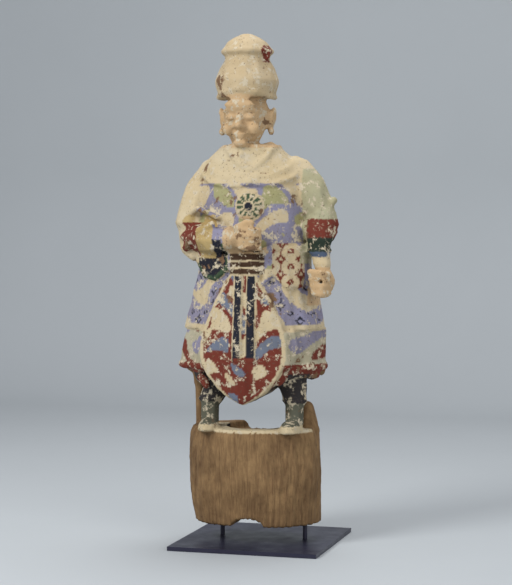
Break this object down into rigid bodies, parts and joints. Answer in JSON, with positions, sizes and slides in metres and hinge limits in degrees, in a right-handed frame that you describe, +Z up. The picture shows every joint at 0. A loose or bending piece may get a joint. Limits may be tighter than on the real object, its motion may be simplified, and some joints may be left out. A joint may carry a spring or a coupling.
{
  "type": "carved wooden guardian figure on stand",
  "caption": "Carved and painted wooden guardian in a tall cap and layered robe, in one piece with its log, on a square steel mount with rods.",
  "frame": {"origin": "middle of the underside of the steel plate", "axes": "+Z up, the figure faces -Y, its own left hand is on the +X side"},
  "size_m": [0.335, 0.3175, 1.009],
  "materials": {
    "polychrome_wood": "carved wood with worn, flaking paint on a pale ground; bare wood on the log",
    "black_painted_steel": "satin black paint"
  },
  "bodies": {
    "root": {"guardian_figure": "polychrome_wood", "mount_plate": "black_painted_steel", "mount_rod_left": "black_painted_steel", "mount_rod_right": "black_painted_steel"}
  },
  "joints": []
}
